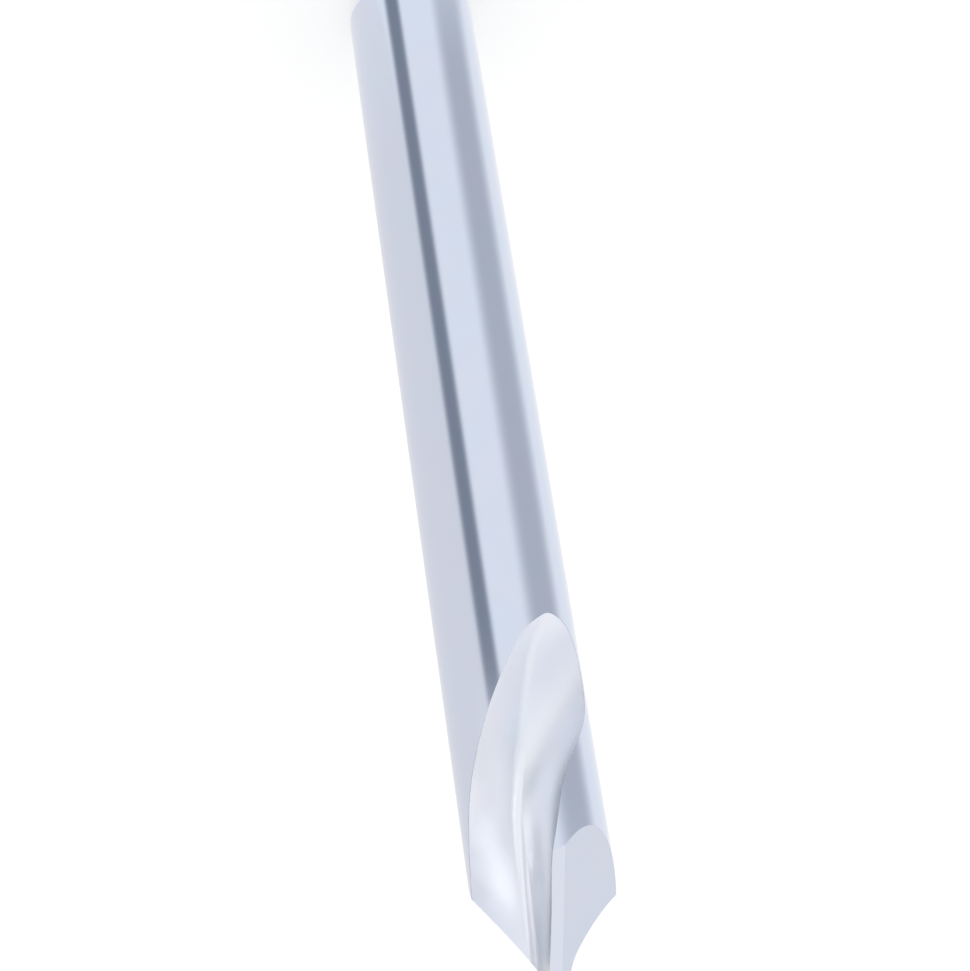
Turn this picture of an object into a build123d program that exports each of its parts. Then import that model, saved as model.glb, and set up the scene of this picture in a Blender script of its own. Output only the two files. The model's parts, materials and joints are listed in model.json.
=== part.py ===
from build123d import *
from math import cos, radians, sin, sqrt, tan
import os

# A solid carbide spotting drill, ground from one rod, with right-hand helix and right-hand cut.
# It stands on its shank end at the origin, with its axis along +Z and its point upwards.
# Lengths are in millimetres and angles in degrees. A depth is measured down from the point.

# Rod: the shank that a holder grips, and the head, ground a hair under it past a short neck
overall_length = 54.0
shank_diameter = 6.0
end_chamfer = 0.7
cutting_diameter = 5.98
neck_length = 1.0
neck_below_flutes = 0.4
grinding_stock = 1.0

# Point: each lip has a narrow primary relief behind it, and a steeper, wide secondary relief
point_angle = 60.0
lip_ahead_of_centre = 0.444
primary_relief = 12.0
primary_width = 0.55
secondary_relief = 33.6

# Flutes, square to the axis: two floor arcs that meet at the web, with a straight wall on each
flute_count = 2
web_thickness = 0.98
floor_shift = 0.28
lead_floor_radius = 2.5
lead_wall_angle = 56.0
heel_floor_radius = 0.5
heel_wall_angle = 52.0

# Flutes, along the axis: on the way to the run-out they turn, widen and shift a little more
flute_length = 16.6
flute_start_angle = 80.4
helix_lead = 68.2
exit_depth = 7.5
exit_blend_length = 6.6
exit_turn_angle = 9.2
exit_widening = 0.25
exit_shift = 0.69
runout_radius = 6.4
wheel_overrun = 0.25
flute_sections = 16

shank_radius = shank_diameter / 2
cutting_radius = cutting_diameter / 2
shank_length = overall_length - flute_length - neck_below_flutes
half_point = radians(point_angle / 2)


def share_of(value, start, length):
    """How far value lies from start, as a share of length between 0 and 1."""
    return min(max((value - start) / length, 0.0), 1.0)


def exit_share(depth):
    """0 along the even part of the flute, and smoothly up to 1 on the way to the run-out."""
    share = share_of(depth, exit_depth, exit_blend_length)
    return share * share * (3 - 2 * share)


def flute_azimuth(depth):
    """Direction of the flute's floor at this depth, counted from the lip."""
    return flute_start_angle - 360 * depth / helix_lead - exit_turn_angle * exit_share(depth)


def floor_height(depth):
    """Distance of the flute's floor from the axis: it leaves the rod along the wheel's rim."""
    web_radius = web_thickness / 2
    climb = shank_radius - web_radius
    runout_length = sqrt(runout_radius ** 2 - (runout_radius - climb) ** 2)
    along = max(depth - (flute_length - runout_length), 0.0)
    return web_radius + runout_radius - sqrt(runout_radius ** 2 - along ** 2)


def flute_section(depth):
    """Face of the flute at this depth, open to the outside of the rod."""
    widening = 1 + exit_widening * exit_share(depth)
    shift = floor_shift - exit_shift * exit_share(depth)
    floor = floor_height(depth)
    outside = floor + shank_diameter

    def side(hand, arc_radius, wall_angle):
        """Points of one floor arc, at its middle and end, and of the wall where it ends outside."""
        points = []
        for angle in (radians(wall_angle / 2), radians(wall_angle)):
            sideways = hand * arc_radius * sin(angle) - shift
            points.append((sideways, floor + arc_radius * (1 - cos(angle))))
        sideways, height = points[-1]
        points.append((sideways + hand * (outside - height) / tan(angle), outside))
        return points

    lead_middle, lead_end, lead_rim = side(1, widening * lead_floor_radius, lead_wall_angle)
    heel_middle, heel_end, heel_rim = side(-1, widening * heel_floor_radius, heel_wall_angle)
    bottom = (-shift, floor)
    outline = [
        Line(lead_rim, lead_end),
        ThreePointArc(lead_end, lead_middle, bottom),
        ThreePointArc(bottom, heel_middle, heel_end),
        Line(heel_end, heel_rim),
        Line(heel_rim, lead_rim),
    ]
    turned = Pos(0, 0, overall_length - depth) * Rot(0, 0, flute_azimuth(depth) - 90)
    return turned * make_face(outline)


def flute():
    start = -grinding_stock
    step = (flute_length + wheel_overrun - start) / flute_sections
    return loft([flute_section(start + step * n) for n in range(flute_sections + 1)])


def rod():
    """The turned blank. The seam of its surface lies where a flute takes it away near the point."""
    stock_end = overall_length + grinding_stock
    outline = Polyline(
        (0, 0, 0),
        (shank_radius - end_chamfer, 0, 0),
        (shank_radius, 0, end_chamfer),
        (shank_radius, 0, shank_length),
        (cutting_radius, 0, shank_length + neck_length),
        (cutting_radius, 0, stock_end),
        (0, 0, stock_end),
        close=True,
    )
    seam = flute_azimuth(flute_length / 2)
    return Rot(0, 0, seam) * revolve(make_face(outline), Axis.Z)


def relief_planes():
    """The two planes ground behind the lip that runs out along +X, each facing out of the drill."""
    behind = Vector(0, -1, 0)
    out_of_cone = Vector(cos(half_point), 0, sin(half_point))

    def tilted(relief):
        facing = out_of_cone * cos(radians(relief)) + behind * sin(radians(relief))
        along = behind * cos(radians(relief)) - out_of_cone * sin(radians(relief))
        return facing, along

    rise = lip_ahead_of_centre * tan(radians(primary_relief)) / sin(half_point)
    lip = Vector(0, lip_ahead_of_centre, overall_length + rise)
    primary_facing, along_primary = tilted(primary_relief)
    secondary_facing, _ = tilted(secondary_relief)
    return [
        Plane(lip, z_dir=primary_facing),
        Plane(lip + along_primary * primary_width, z_dir=secondary_facing),
    ]


def spotting_drill():
    """The rod is cut and ground once for each flute, and turned on to the next."""
    drill = rod()
    groove = flute()
    for _ in range(flute_count):
        drill -= groove
        for relief in relief_planes():
            drill = split(drill, relief, keep=Keep.BOTTOM)
        drill = Rot(0, 0, 360 / flute_count) * drill
    return drill


os.makedirs("parts", exist_ok=True)
export_step(spotting_drill(), "parts/spotting_drill.step")
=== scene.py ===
import bpy
import json
from math import cos, pi, radians, sin
from mathutils import Matrix, Vector

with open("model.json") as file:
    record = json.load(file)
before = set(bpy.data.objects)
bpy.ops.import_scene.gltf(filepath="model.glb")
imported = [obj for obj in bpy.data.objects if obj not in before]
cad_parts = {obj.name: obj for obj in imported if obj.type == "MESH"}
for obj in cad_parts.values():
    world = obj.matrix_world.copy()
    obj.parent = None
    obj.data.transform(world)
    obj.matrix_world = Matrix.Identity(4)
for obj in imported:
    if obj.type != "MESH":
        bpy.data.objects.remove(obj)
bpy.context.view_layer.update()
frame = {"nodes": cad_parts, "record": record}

# The look of a ground carbide spotting drill that stands on its shank end, point upwards.
# Lengths are in metres and angles in degrees. An azimuth is counted from +X towards +Y.

MM = 0.001
white = (1.0, 1.0, 1.0)
along_x = (1.0, 0.0, 0.0)
along_z = (0.0, 0.0, 1.0)
level_part = (1.0, 1.0, 0.0)
drill = frame["nodes"]["spotting_drill"]
shank_radius = frame["record"]["mounts"][0]["dims"]["r_mm"] * MM

# Camera: close above the point and rolled over, so that the point is at the foot of the picture.
# What it sees lies between its distance divided by clip_range and its distance times clip_range.
camera_azimuth = 20.77
camera_elevation = 34.91
camera_roll = 171.30
camera_distance = 139.18 * MM
camera_aim = Vector((0.051, -0.135, 29.02)) * MM
focal_pixels = 3150.0
picture_width = 970.0
sensor_width = 36.0
clip_range = 100

# Floor: its grey lights what stands on it, and a glow that only the camera sees makes it white
floor_half_width = 3.0
floor_grey = 0.62
floor_glow = 0.42

# Studio, as the metal mirrors it: white walls, and a white floor with cards laid round the drill.
# The floor passes into the colour of the walls between wall_start and wall_end from the axis.
# Azimuths of walls and cards are counted from the camera's. Colours above 1 are brighter than white.
# A wall has a colour, an azimuth, half its spread, and the softness of its sides.
wall_start = 110 * MM
wall_end = 180 * MM
wall_table = {
    "front wall": ((0.75, 0.78, 0.86), -22.0, 33.0, 26.0),
    "grey wall": ((0.94, 0.94, 0.95), -105.0, 24.0, 20.0),
}

# A card has a colour, an azimuth, half its spread and the softness of its sides, then the
# distances in mm from the drill between which it lies, and the softness of its ends.
card_table = {
    "warm side": ((0.90, 0.88, 0.87), 113.0, 72.0, 12.0, 0.0, 120.0, 40.0),
    "dark strip": ((0.27, 0.30, 0.34), 30.6, 11.6, 11.0, 0.0, 74.0, 3.0),
    "grey card": ((0.57, 0.58, 0.61), -75.0, 25.0, 32.0, 0.0, 100.0, 20.0),
    "far grey card": ((0.32, 0.35, 0.42), 70.0, 57.0, 16.0, 114.0, 400.0, 8.0),
    "bright card": ((2.40, 2.40, 2.45), 49.0, 15.0, 10.0, 88.0, 110.0, 6.0),
    "middle bright card": ((1.45, 1.45, 1.45), 5.0, 14.0, 10.0, 125.0, 155.0, 10.0),
    "dark horizon": ((0.22, 0.25, 0.30), -45.0, 24.0, 16.0, 420.0, 3000.0, 60.0),
    "side bright card": ((1.68, 1.68, 1.72), -63.0, 18.0, 14.0, 225.0, 520.0, 40.0),
    "far bright card": ((2.65, 2.65, 2.65), -35.0, 9.0, 8.0, 195.0, 290.0, 20.0),
}

# Ground carbide: colour and roughness of each kind of surface.
# The even part of a flute reflects less than the rest at a grazing angle: partly the metal's own
# dip, and partly painted shade for the dark band under the lips.
shank_colour = (0.673, 0.728, 0.849)
# The flutes are lighter than the shank, partly for their finer grinding and partly as painted light
# that lifts the shade of their walls mirroring each other.
flute_colour_and_painted_light = (0.93, 0.95, 0.99)
primary_colour = (0.730, 0.765, 0.850)
secondary_colour = (0.690, 0.730, 0.823)
# Painted shade, in part: this tint darkens the even flutes' reflections at a grazing angle.
flute_grazing_dip_and_painted_shade = (0.70, 0.70, 0.70)
shank_roughness = 0.13
flute_roughness = 0.31
run_out_roughness = 0.50
relief_roughness = 0.24

# Where the flutes lie: deeper than the lands, which are within land_depth of the shank's radius,
# and above the lower shank, whose end chamfer is no flute.
# A flute's run-out is matt, and passes into the even part of the flute above it.
lower_shank_end = 30.0 * MM
upper_part_start = 31.0 * MM
land_depth = 0.022 * MM
land_edge = 0.005 * MM
run_out_top = 40.0 * MM
even_flute_start = 46.0 * MM

# Where the relief faces lie: in the point, where their normals rise more than a flute's do.
# The primary relief's normal rises more than the secondary's.
point_start = 47.5 * MM
relief_rise = 0.35
primary_rise = 0.45

# Grinding marks: how many a metre across and along them, the detail and the middle of their noise,
# their depth, and what they do to the shine
marks_across = 14000.0
marks_along = 250.0
marks_detail = 2.0
marks_middle = 0.5
marks_depth = 0.0003 * MM
marks_roughness = 0.04
helix_lead = 68.2 * MM
half_point_angle = 30.0

# Tint: faint patches, cooler or more lavender than the rest, and where their noise passes over
tint_patches = 420.0
tint_start = 0.35
tint_end = 0.65
cool_tint = (0.985, 1.003, 1.008)
lavender_tint = (1.008, 0.997, 1.006)

# Blender's mix node: the number of its first value and of its output, for each kind of value
mix_sockets = {"FLOAT": (2, 0), "VECTOR": (4, 1), "RGBA": (6, 2)}


def feed(tree, value, socket):
    """Sets a socket to a number or colour, or links another socket to it."""
    if isinstance(value, bpy.types.NodeSocket):
        tree.links.new(value, socket)
    elif isinstance(value, tuple) and len(socket.default_value) > len(value):
        socket.default_value = (*value, 1.0)
    else:
        socket.default_value = value


def add_node(tree, kind, inputs=(), **settings):
    """A new node of this kind, with its settings, and its inputs given by name or number."""
    node = tree.nodes.new(kind)
    for name, value in settings.items():
        setattr(node, name, value)
    for name, value in dict(inputs).items():
        feed(tree, value, node.inputs[name])
    return node


def calculate(tree, operation, *values):
    return add_node(tree, "ShaderNodeMath", enumerate(values), operation=operation).outputs[0]


def vector(tree, operation, *values):
    node = add_node(tree, "ShaderNodeVectorMath", enumerate(values), operation=operation)
    return node.outputs["Value" if operation in ("DOT_PRODUCT", "LENGTH") else "Vector"]


def rise(tree, value, start, end):
    """0 before start and 1 after end, with a smooth step between them."""
    inputs = {"Value": value, "From Min": start, "From Max": end}
    return add_node(tree, "ShaderNodeMapRange", inputs, interpolation_type="SMOOTHSTEP").outputs[0]


def band(tree, value, start, end, softness):
    """1 between start and end, and 0 outside them, with soft ends."""
    after = rise(tree, value, start - softness / 2, start + softness / 2)
    beyond = rise(tree, value, end - softness / 2, end + softness / 2)
    return calculate(tree, "SUBTRACT", after, beyond)


def blend(tree, share, first, second, kind="RGBA"):
    """The first value where the share is 0 and the second where it is 1."""
    first_input, output = mix_sockets[kind]
    inputs = {0: share, first_input: first, first_input + 1: second}
    return add_node(tree, "ShaderNodeMix", inputs, data_type=kind).outputs[output]


def make_camera():
    azimuth, elevation = radians(camera_azimuth), radians(camera_elevation)
    level = cos(elevation)
    towards = Vector((cos(azimuth) * level, sin(azimuth) * level, sin(elevation)))
    data = bpy.data.cameras.new("camera")
    data.sensor_width = sensor_width
    data.lens = sensor_width * focal_pixels / picture_width
    data.clip_start = camera_distance / clip_range
    data.clip_end = camera_distance * clip_range
    camera = bpy.data.objects.new("camera", data)
    upright = towards.to_track_quat("Z", "Y").to_matrix().to_4x4()
    rolled = upright @ Matrix.Rotation(radians(camera_roll), 4, "Z")
    camera.matrix_world = Matrix.Translation(camera_aim + towards * camera_distance) @ rolled
    bpy.context.scene.collection.objects.link(camera)
    bpy.context.scene.camera = camera


def level_direction(azimuth):
    """Level direction at this azimuth from the camera's."""
    turn = radians(camera_azimuth + azimuth)
    return Vector((cos(turn), sin(turn), 0.0))


def mirror_focus(azimuth):
    """The point in the shank from which a card spreads, so that its mirror image stays straight."""
    shank_side = level_direction(azimuth / 2)
    depth = cos(radians(azimuth / 2)) / 2
    return (shank_side - level_direction(azimuth) * depth) * shank_radius


def spread_share(tree, direction, azimuth, half_spread, softness):
    """1 where a level direction is within the spread, and 0 outside it."""
    facing = vector(tree, "DOT_PRODUCT", direction, tuple(level_direction(azimuth)))
    inside = cos(radians(max(half_spread - softness / 2, 0.0)))
    outside = cos(radians(half_spread + softness / 2))
    return rise(tree, facing, outside, inside)


def mirrored_walls(tree, place):
    """Colour of the walls in the direction of a place."""
    direction = vector(tree, "NORMALIZE", vector(tree, "MULTIPLY", place, level_part))
    colour = white
    for painted, azimuth, half_spread, softness in wall_table.values():
        share = spread_share(tree, direction, azimuth, half_spread, softness)
        colour = blend(tree, share, colour, painted)
    return colour


def mirrored_floor(tree, place):
    """Colour of the floor at a place, with its cards turned as the shank mirrors them."""
    beyond = rise(tree, vector(tree, "LENGTH", place), wall_start, wall_end)
    colour = blend(tree, beyond, white, mirrored_walls(tree, place))
    for painted, azimuth, half_spread, softness, near, far, end_softness in card_table.values():
        from_focus = vector(tree, "SUBTRACT", place, tuple(mirror_focus(azimuth)))
        direction = vector(tree, "NORMALIZE", from_focus)
        distance = vector(tree, "LENGTH", from_focus)
        across = spread_share(tree, direction, azimuth, half_spread, softness)
        along = band(tree, distance, near * MM, far * MM, end_softness * MM)
        colour = blend(tree, calculate(tree, "MULTIPLY", across, along), colour, painted)
    return colour


def seen_by_metal(tree, plain, mirrored):
    """The mirrored shader where the metal's reflections see it, and the plain one otherwise."""
    in_mirror = add_node(tree, "ShaderNodeLightPath").outputs["Is Glossy Ray"]
    shaders = {0: in_mirror, 1: plain, 2: mirrored}
    return add_node(tree, "ShaderNodeMixShader", shaders).outputs[0]


def make_world():
    """White all round, and the walls as the metal mirrors them."""
    world = bpy.data.worlds.new("studio")
    world.use_nodes = True
    tree = world.node_tree
    direction = add_node(tree, "ShaderNodeTexCoord").outputs["Generated"]
    walls = mirrored_walls(tree, direction)
    mirrored = add_node(tree, "ShaderNodeBackground", {"Color": walls}).outputs[0]
    plain = add_node(tree, "ShaderNodeBackground", {"Color": white}).outputs[0]
    surface = tree.nodes["World Output"].inputs["Surface"]
    tree.links.new(seen_by_metal(tree, plain, mirrored), surface)
    bpy.context.scene.world = world


def floor_material():
    """Pale paint with a glow for the camera alone, and the cards as the metal mirrors them."""
    material = bpy.data.materials.new("studio_floor")
    material.use_nodes = True
    tree = material.node_tree
    tree.nodes.clear()
    place = add_node(tree, "ShaderNodeNewGeometry").outputs["Position"]
    cards = mirrored_floor(tree, place)
    mirrored = add_node(tree, "ShaderNodeEmission", {"Color": cards}).outputs[0]
    paint = add_node(tree, "ShaderNodeBsdfDiffuse", {"Color": (floor_grey,) * 3}).outputs[0]
    to_camera = add_node(tree, "ShaderNodeLightPath").outputs["Is Camera Ray"]
    glow_strength = calculate(tree, "MULTIPLY", to_camera, floor_glow)
    glow = add_node(tree, "ShaderNodeEmission", {"Strength": glow_strength}).outputs[0]
    plain = add_node(tree, "ShaderNodeAddShader", {0: paint, 1: glow}).outputs[0]
    surface = seen_by_metal(tree, plain, mirrored)
    add_node(tree, "ShaderNodeOutputMaterial", {"Surface": surface})
    return material


def make_floor():
    mesh = bpy.data.meshes.new("floor")
    half = floor_half_width
    corners = [(-half, -half, 0), (half, -half, 0), (half, half, 0), (-half, half, 0)]
    mesh.from_pydata(corners, [], [(0, 1, 2, 3)])
    mesh.materials.append(floor_material())
    floor = bpy.data.objects.new("floor", mesh)
    bpy.context.scene.collection.objects.link(floor)


def scratches(tree, place, scale):
    """Fine noise, from 0 to 1, that is drawn out where its scale is small."""
    stretched = vector(tree, "MULTIPLY", place, scale)
    inputs = {"Vector": stretched, "Scale": 1.0, "Detail": marks_detail}
    return add_node(tree, "ShaderNodeTexNoise", inputs).outputs["Fac"]


def grinding_marks(tree, place, height, in_flute, in_relief):
    """Marks round the shank, along the flutes' helix and square to the lips on the relief faces."""
    round_shank = scratches(tree, place, (marks_along, marks_along, marks_across))
    turn = calculate(tree, "MULTIPLY", height, -2 * pi / helix_lead)
    turned = {"Vector": place, "Angle": turn}
    untwisted = add_node(tree, "ShaderNodeVectorRotate", turned, rotation_type="Z_AXIS").outputs[0]
    along_flute = scratches(tree, untwisted, (marks_across, marks_across, marks_along))
    one_side = vector(tree, "ABSOLUTE", place)
    lip = (sin(radians(half_point_angle)), 0.0, -cos(radians(half_point_angle)))
    along_lip = vector(tree, "MULTIPLY", along_x, vector(tree, "DOT_PRODUCT", one_side, lip))
    across_relief = scratches(tree, along_lip, (marks_across, marks_across, marks_across))
    marks = blend(tree, in_flute, round_shank, along_flute, "FLOAT")
    return blend(tree, in_relief, marks, across_relief, "FLOAT")


def rod_normal(tree, outwards, share):
    """The surface's normal, which on the rod points straight away from the axis."""
    turned = {"vector_type": "NORMAL", "convert_from": "OBJECT", "convert_to": "WORLD"}
    radial = add_node(tree, "ShaderNodeVectorTransform", {0: outwards}, **turned).outputs[0]
    radial = vector(tree, "NORMALIZE", radial)
    smooth = add_node(tree, "ShaderNodeNewGeometry").outputs["Normal"]
    return blend(tree, share, smooth, radial, "VECTOR")


def tinted(tree, place, colour):
    """A colour with faint patches of the two tints."""
    inputs = {"Vector": place, "Scale": tint_patches}
    patches = add_node(tree, "ShaderNodeTexNoise", inputs).outputs["Fac"]
    tint = blend(tree, rise(tree, patches, tint_start, tint_end), cool_tint, lavender_tint)
    return vector(tree, "MULTIPLY", colour, tint)


def carbide():
    """Bare ground metal. Its flutes are partly lightened by painted light, and partly darkened at a
    grazing angle by painted shade. Shares from 0 to 1 tell apart the rod, the flutes and the relief
    faces.
    """
    material = bpy.data.materials.new("ground_carbide")
    material.use_nodes = True
    tree = material.node_tree
    shader = tree.nodes["Principled BSDF"]
    shader.inputs["Metallic"].default_value = 1.0

    coordinates = add_node(tree, "ShaderNodeTexCoord").outputs
    place = coordinates["Object"]
    upwards = vector(tree, "DOT_PRODUCT", coordinates["Normal"], along_z)
    height = vector(tree, "DOT_PRODUCT", place, along_z)
    outwards = vector(tree, "MULTIPLY", place, level_part)
    from_axis = vector(tree, "LENGTH", outwards)

    land_radius = shank_radius - land_depth
    on_rod = rise(tree, from_axis, land_radius - land_edge, land_radius)
    under_rod = calculate(tree, "SUBTRACT", 1.0, on_rod)
    in_upper_part = rise(tree, height, lower_shank_end, upper_part_start)
    in_flute = calculate(tree, "MULTIPLY", under_rod, in_upper_part)
    above_run_out = rise(tree, height, run_out_top, even_flute_start)
    in_even_flute = calculate(tree, "MULTIPLY", in_flute, above_run_out)
    in_point = calculate(tree, "GREATER_THAN", height, point_start)
    rising = calculate(tree, "GREATER_THAN", upwards, relief_rise)
    in_relief = calculate(tree, "MULTIPLY", rising, in_point)
    in_primary = calculate(tree, "GREATER_THAN", upwards, primary_rise)

    # The flutes get the lighter colour: partly their finer grinding, partly painted light against
    # the shade of their walls mirroring each other.
    colour = blend(tree, in_flute, shank_colour, flute_colour_and_painted_light)
    relief_colour = blend(tree, in_primary, secondary_colour, primary_colour)
    colour = blend(tree, in_relief, colour, relief_colour)
    tree.links.new(tinted(tree, place, colour), shader.inputs["Base Color"])

    # Painted shade, in part: the tint darkens the even flute's reflections at a grazing angle,
    # giving the dark band under the lips.
    grazing_dip_and_painted_shade = blend(tree, in_even_flute, white, flute_grazing_dip_and_painted_shade)
    grazing_dip_and_painted_shade = blend(tree, in_relief, grazing_dip_and_painted_shade, white)
    tree.links.new(grazing_dip_and_painted_shade, shader.inputs["Specular Tint"])

    marks = grinding_marks(tree, place, height, in_flute, in_relief)
    ground = blend(tree, above_run_out, run_out_roughness, flute_roughness, "FLOAT")
    roughness = blend(tree, in_flute, shank_roughness, ground, "FLOAT")
    roughness = blend(tree, in_relief, roughness, relief_roughness, "FLOAT")
    centred_marks = calculate(tree, "SUBTRACT", marks, marks_middle)
    roughness = calculate(tree, "MULTIPLY_ADD", centred_marks, marks_roughness, roughness)
    tree.links.new(roughness, shader.inputs["Roughness"])

    normal = rod_normal(tree, outwards, calculate(tree, "SUBTRACT", on_rod, in_relief))
    raised = {"Height": marks, "Distance": marks_depth, "Normal": normal}
    bump = add_node(tree, "ShaderNodeBump", raised)
    tree.links.new(bump.outputs["Normal"], shader.inputs["Normal"])
    return material


make_camera()
make_world()
make_floor()
drill.data.materials.clear()
drill.data.materials.append(carbide())

bpy.context.scene.view_settings.view_transform = "Standard"
